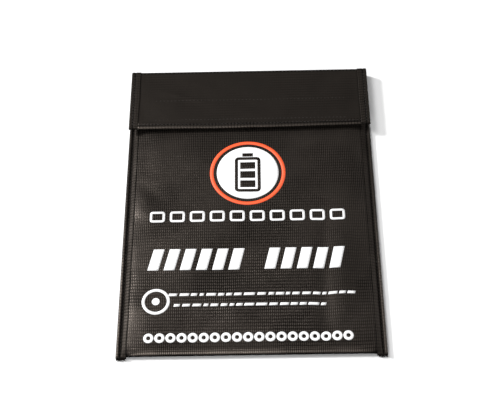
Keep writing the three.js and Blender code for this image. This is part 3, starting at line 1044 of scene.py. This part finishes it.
def add_hooks(shape, spacing=2.0):
    """Small bent hooks in staggered rows, hanging from the strip's underside."""
    stem = np.array([[0, 0, 0.1], [0, 0, -0.35], [0.12, 0, -0.6], [0.34, 0, -0.66], [0.42, 0, -0.5]])
    ring = np.array([[-1, -1, 0], [1, -1, 0], [1, 1, 0], [-1, 1, 0]]) * 0.11
    faces = grid_faces(len(stem), len(ring), wrap=True)
    faces += [(3, 2, 1, 0), tuple(len(ring) * (len(stem) - 1) + i for i in range(4))]
    rows = np.arange(STRIP_LOW + PILE_MARGIN + 1, STRIP_HIGH - PILE_MARGIN, spacing)
    for index, y in enumerate(rows):
        shift = spacing / 2 * (index % 2)
        for x in np.arange(-STRIP_HALF + 2 + shift, STRIP_HALF - 2, spacing):
            base = np.array([x, y, float(hook_face(x, y))])
            points = stem[:, None] * (1 if index % 2 else -1, 1, 1) + base
            points = (points + ring[None]).reshape(-1, 3)
            shape.add(points, points[:, :2], faces, [False] * len(faces))


loop_shape = Shape()
loop_grid = strip_grid(STRIP_HALF, STRIP_LOW, STRIP_HIGH, 2.0, loop_base_middle)
add_sheet(loop_shape, loop_grid, LOOP_BASE)
pile_low, pile_high = STRIP_LOW + PILE_MARGIN, STRIP_HIGH - PILE_MARGIN
pile_grid = strip_grid(STRIP_HALF - PILE_INSET, pile_low, pile_high, 0.9, loop_pile_middle)
add_sheet(loop_shape, pile_grid, LOOP_PILE_HEIGHT)
loop_tape = loop_shape.build("loop_tape", LOOP_PILE)

hook_shape = Shape()
hook_grid = strip_grid(STRIP_HALF, STRIP_LOW, STRIP_HIGH, 2.0, hook_base_middle)
add_sheet(hook_shape, hook_grid, HOOK_BASE)
add_hooks(hook_shape)
hook_tape = hook_shape.build("hook_tape", HOOK_PILE)

# ---- Print: plain shapes where the bag carries its lettering and badge ----


def ink_sheet(shape, grid, lift, wrap=False):
    """A thin layer of ink over the front, from a grid of places in X and Y."""
    x, y = grid[..., 0], grid[..., 1]
    z = front_height(x, y) + CLOTH / 2 + lift - PRINT_THICKNESS / 2
    middle = facing(np.stack([x, y, z], axis=2), (0, 0, 1), wrap)
    add_sheet(shape, middle, PRINT_THICKNESS, flat=middle[..., :2], wrap=wrap)


def printed(name, material, rings=(), patches=(), lift=PRINT_LIFT):
    """One piece of print, from grids that close on themselves and grids that don't."""
    shape = Shape()
    for grid in rings:
        ink_sheet(shape, grid, lift, wrap=True)
    for grid in patches:
        ink_sheet(shape, grid, lift)
    return shape.build(name, material)


def ring_grid(x, y, outer, inner, steps=72, bands=3):
    angles = np.arange(steps) * 2 * math.pi / steps
    radii = np.linspace(inner, outer, bands)[:, None]
    return np.stack([x + radii * np.cos(angles), y + radii * np.sin(angles)], axis=2)


def disc_grid(x, y, radius, steps=26):
    """A square grid eased out to a circle."""
    share = np.linspace(-1, 1, steps)
    u, v = np.meshgrid(share, share)
    across = u * np.sqrt(1 - v**2 / 2)
    along = v * np.sqrt(1 - u**2 / 2)
    return np.stack([x + radius * across, y + radius * along], axis=2)


def bar_grid(left, right, bottom, top, slant=0.0, step=2.0):
    """A straight bar whose top leans to the right by slant."""
    columns = max(2, int((right - left) / step) + 1)
    rows = max(2, int((top - bottom) / step) + 1)
    x, y = np.meshgrid(np.linspace(left, right, columns), np.linspace(bottom, top, rows))
    x = x + slant * (y - bottom) / (top - bottom)
    return np.stack([x, y], axis=2)


def box_outline_grid(left, right, bottom, top, corner, stroke):
    """A box drawn with a stroke and rounded corners."""

    def outline(inset):
        radius = max(corner - inset, 0.2)
        points = []
        for quarter, (x, y) in enumerate(
            [(right, top), (left, top), (left, bottom), (right, bottom)]
        ):
            centre_x = x - math.copysign(corner, x - (left + right) / 2)
            centre_y = y - math.copysign(corner, y - (bottom + top) / 2)
            for angle in np.radians(np.linspace(0, 90, 6) + 90 * quarter):
                points.append((centre_x + radius * math.cos(angle), centre_y + radius * math.sin(angle)))
        closed = np.array(points + points[:1])
        steps = np.concatenate([[0], np.cumsum(np.linalg.norm(np.diff(closed, axis=0), axis=1))])
        even = np.linspace(0, 1, 61)[:-1]
        return np.stack([np.interp(even, steps / steps[-1], closed[:, k]) for k in range(2)], axis=1)

    return np.stack([outline(stroke), outline(0)])


def battery_symbol(x, y):
    """A plain upright battery: its outline, and a knob on top with three bars inside."""
    body = box_outline_grid(x - 12, x + 12, y - 21, y + 17, 3.5, 3.0)
    parts = [bar_grid(x - 5, x + 5, y + 17.6, y + 21.4)]
    for cell in range(3):
        foot = y - 16 + cell * 10.0
        parts.append(bar_grid(x - 7, x + 7, foot, foot + 7.4))
    return [body], parts


def dashes(random, y, left, right):
    """A line of uneven slanted dashes."""
    line = []
    place = left
    while place < right - SHORTEST_DASH:
        length = min(random.uniform(3.5, 9.5), right - place)
        line.append(bar_grid(place, place + length, y - 1.25, y + 1.25, 0.8))
        place += length + random.uniform(1.4, 2.4)
    return line


BADGE = (-2.0, 30.8)
SYMBOL_LIFT = PRINT_LIFT + 0.08  # the symbol lies over the disc
PRINT_LEFT = -90.7
OUTLINE_COUNT, OUTLINES_RIGHT, OUTLINE_GAP = 10, 85.5, 4.4
OUTLINE_Y = (-21.5, -10.2)
BAR_WIDTH, BAR_PITCH, BAR_SLANT = 9.6, 14.2, 5.0
BAR_Y = (-70.3, -49.3)
SIGN = (-82.1, -100.6)
SHORTEST_DASH = 4
CHAIN_COUNT, CHAIN_LEFT, CHAIN_RIGHT, CHAIN_Y = 19, -87.2, 82.2, -134.4

badge_ring = printed("print_badge_ring", ORANGE_INK, [ring_grid(*BADGE, 35.0, 31.6, steps=120)])
badge_disc = printed("print_badge_disc", WHITE_INK, patches=[disc_grid(*BADGE, 28.6)])
badge_symbol = printed("print_badge_symbol", FRONT_CLOTH, *battery_symbol(*BADGE), SYMBOL_LIFT)

outline_pitch = (OUTLINES_RIGHT - PRINT_LEFT + OUTLINE_GAP) / OUTLINE_COUNT
outline_width = outline_pitch - OUTLINE_GAP
lefts = [PRINT_LEFT + index * outline_pitch for index in range(OUTLINE_COUNT)]
outlines = [box_outline_grid(left, left + outline_width, *OUTLINE_Y, 2.6, 2.2) for left in lefts]
outline_row = printed("print_outline_row", WHITE_INK, outlines)

lefts = [start + i * BAR_PITCH for start, count in ((PRINT_LEFT, 6), (12.0, 5)) for i in range(count)]
bars = [bar_grid(left, left + BAR_WIDTH, *BAR_Y, BAR_SLANT) for left in lefts]
bar_row = printed("print_slanted_bars", WHITE_INK, patches=bars)

dash_random = np.random.default_rng(7)
marks = [disc_grid(*SIGN, 3.4, steps=10)]
marks += dashes(dash_random, -94.4, -71.5, 89.8)
marks += dashes(dash_random, -104.5, -66.8, 64.3)
dash_rows = printed("print_dashed_lines", WHITE_INK, [ring_grid(*SIGN, 12.2, 9.6, steps=60)], marks)

places = np.linspace(CHAIN_LEFT, CHAIN_RIGHT, CHAIN_COUNT)
chain = [ring_grid(x, CHAIN_Y, 4.4, 1.8, steps=30) for x in places]
chain_row = printed("print_ring_row", WHITE_INK, chain)

# ---- Loose ends ----

FRAY_INSET, FRAY_LENGTH, FRAY_WIDTH = 1.2, 7.6, 3.4  # of the tape's cut end
YARN_COUNT = 9
TAIL_THICKNESS = 0.3
TAIL_OVERLAP = 1.9  # each length of the thread end runs on into the next


def frayed_corner(name, side, seed):
    """The cut end of a side tape, turned out under the corner, and its loose yarns."""
    random = np.random.default_rng(seed)
    shape = Shape()
    u, v = np.meshgrid(np.linspace(0, 1, 9), np.linspace(0, 1, 5))
    x = side * (SEAM_X + FRAY_INSET + FRAY_LENGTH * u)
    ragged = 0.35 * np.sin(9 * u + seed) + 0.2 * np.sin(23 * u)
    y = BOTTOM + 2.2 - v * (FRAY_WIDTH + ragged)
    z = 0.75 + 0.5 * (1 - v) + 0.25 * np.sin(math.pi * u)
    grid = facing(np.stack([x, y, z], axis=2), (0, 0, 1))
    add_sheet(shape, grid, TAPE * 0.8)
    for _ in range(YARN_COUNT):
        start = np.array([side * random.uniform(SEAM_X + 1, SIDE - 0.4), BOTTOM - 0.9, 0.8])
        heading = unit(np.array([random.normal(0, 0.5), -1.0, random.uniform(0, 0.2)]))
        up = np.array([0.0, 0.0, 1.0])
        up = unit(up - heading * (up @ heading))
        length = random.uniform(1.0, 2.4)
        add_stitches(shape, start[None], heading[None], up[None], length, 0.22, 0.2)
    return shape.build(name, TAPE_CLOTH)


def thread_tail(name):
    """The end of the seam's thread, left standing at the flap's right corner."""
    shape = Shape()
    turns = np.linspace(0, 1, 14)
    x = SIDE - 1.6 + 3.0 * turns - 1.2 * turns**2
    y = FLAP_EDGE + 1.5 - 8.0 * turns + 1.5 * np.sin(2.4 * turns)
    z = FLAP_HEIGHT - 1.2 - 4.6 * turns**1.5
    path = np.stack([x, y, z], axis=1)
    steps = np.diff(path, axis=0)
    length = float(np.linalg.norm(steps, axis=1).mean()) * TAIL_OVERLAP
    directions = unit(steps)
    up = unit(np.cross(directions, np.array([1.0, 0.2, 0.0])))
    middles = (path[1:] + path[:-1]) / 2
    add_stitches(shape, middles, directions, up, length, TAIL_THICKNESS, TAIL_THICKNESS)
    return shape.build(name, THREAD)


corner_left = frayed_corner("left_corner_fray", -1, seed=3)
corner_right = frayed_corner("right_corner_fray", 1, seed=4)
tail = thread_tail("flap_thread_tail")

# ---- How the pieces ride, and what they stand for ----

BLEND_START_Y, BLEND_END_Y = 145.2 * MM, 147.5 * MM
LOW_CREASE = ("pouch", "fold", BLEND_START_Y, BLEND_END_Y)
HIGH_CREASE = ("fold", "flap", BLEND_END_Y, BLEND_START_Y)


def place(piece, slot, body, *nodes):
    """The piece's body or the crease that it crosses, and the nodes it replaces. Its finish, slot, is
    not used.
    """
    if body in (LOW_CREASE, HIGH_CREASE):
        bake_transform(piece)
    else:
        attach(piece, body)
    if nodes:
        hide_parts(*nodes)


def place_tape(name, tape_body, tape_nodes, thread_body, thread_node):
    tape, row = tapes[name]
    place(tape, "binding_tape", tape_body, *tape_nodes)
    place(row, "thread", thread_body, thread_node)


place(outer_cloth, "coated_fabric", LOW_CREASE, "pouch_shell", "fold_panel")
place(flap_cloth, "coated_fabric", HIGH_CREASE, "flap_panel")
place(pouch_lining, "liner_fabric", LOW_CREASE, "pouch_liner", "fold_lining")
place(flap_lining, "liner_fabric", HIGH_CREASE, "flap_lining")
for name in ("left", "right"):
    nodes = (f"{name}_binding", f"fold_{name}_binding")
    place_tape(f"{name}_side", LOW_CREASE, nodes, "pouch", f"{name}_binding_thread")
    nodes = (f"flap_{name}_binding",)
    place_tape(f"{name}_flap", HIGH_CREASE, nodes, HIGH_CREASE, f"flap_{name}_thread")
place_tape("edge", "flap", ("flap_edge_binding",), "flap", "flap_edge_thread")
place_tape("mouth", "pouch", ("mouth_binding",), "pouch", "mouth_binding_thread")
place(top_stitches, "thread", HIGH_CREASE, "flap_top_thread")
place(hook_tape, "hook_tape", "flap", "hook_strip")
place(loop_tape, "loop_tape", "pouch", "loop_strip")
for name in ("lower", "upper"):
    place(strip_rows[f"hook_{name}"], "thread", "flap", f"hook_strip_{name}_thread")
    place(strip_rows[f"loop_{name}"], "thread", "pouch", f"loop_strip_{name}_thread")
place(badge_ring, "print_orange", "pouch")
place(badge_symbol, "coated_fabric", "pouch")
for white in (badge_disc, outline_row, bar_row, dash_rows, chain_row):
    place(white, "print_white", "pouch")
for corner in (corner_left, corner_right):
    place(corner, "binding_tape", "pouch")
place(tail, "thread", "flap")


def declare_sheet(column):
    """Works out the steps along a sheet's middle line, and keeps nothing."""
    steps = np.diff(column(0.0, 0), axis=0)


declare_sheet(pouch_column)
declare_sheet(flap_column)
declare_sheet(pouch_column)
declare_sheet(flap_column)

# ---- Floor, lights and camera ----

FLOOR_HALF = 4.0  # metres, as are all the lengths below
FLOOR_GAP = 0.02 * MM


def link_object(name, data, location=(0, 0, 0)):
    made = bpy.data.objects.new(name, data)
    bpy.context.scene.collection.objects.link(made)
    made.location = location
    return made


def make_floor():
    mesh = bpy.data.meshes.new("floor")
    corners = [(x * FLOOR_HALF, y * FLOOR_HALF, 0) for x, y in ((-1, -1), (1, -1), (1, 1), (-1, 1))]
    mesh.from_pydata(corners, [], [(0, 1, 2, 3)])
    graph = Graph("studio floor")
    vector = graph.node("ShaderNodeTexCoord").outputs["Object"]
    faint = graph.noise(vector, 3.0)
    graph.set("Base Color", graph.blend(faint, colour(0.93, 0.93, 0.93), colour(0.95, 0.95, 0.95)))
    graph.set("Roughness", 0.7)
    mesh.materials.append(graph.material)
    link_object("floor", mesh, (0, 0, -FLOOR_GAP))


def add_area_light(name, location, target, size, power):
    light = bpy.data.lights.new(name, "AREA")
    light.shape = "SQUARE"
    light.size = size
    light.energy = power
    lamp = link_object(name, light, location)
    away = Vector(target) - Vector(location)
    lamp.rotation_mode = "QUATERNION"
    lamp.rotation_quaternion = away.to_track_quat("-Z", "Y")


def make_world(strength):
    world = bpy.data.worlds.new("studio")
    bpy.context.scene.world = world
    world.use_nodes = True
    background = world.node_tree.nodes["Background"]
    background.inputs["Color"].default_value = (1.0, 1.0, 1.0, 1.0)
    background.inputs["Strength"].default_value = strength


def make_camera(location, angles, lens):
    camera = bpy.data.cameras.new("camera")
    camera.lens = lens
    camera.sensor_width = 36.0
    seat = link_object("camera", camera, location)
    seat.rotation_euler = [math.radians(angle) for angle in angles]
    bpy.context.scene.camera = seat


make_floor()
make_world(0.18)
add_area_light("key", (-1.32, 0.62, 1.08), (0.0, 0.0, 0.0), size=0.25, power=31.0)
add_area_light("window", (-0.38, 0.2, 0.8), (-0.08, -0.12, 0.0), size=0.35, power=3.6)
add_area_light("front", (-0.25, -1.3, 0.95), (-0.05, -0.14, 0.0), size=0.5, power=9.0)
add_area_light("right", (1.15, 0.3, 0.7), (0.1, 0.0, 0.0), size=0.35, power=5.0)
make_camera((0.0132, -0.5011, 0.8222), angles=(31.3, 1.19, -0.41), lens=75.47)
bpy.context.scene.view_settings.view_transform = "Standard"
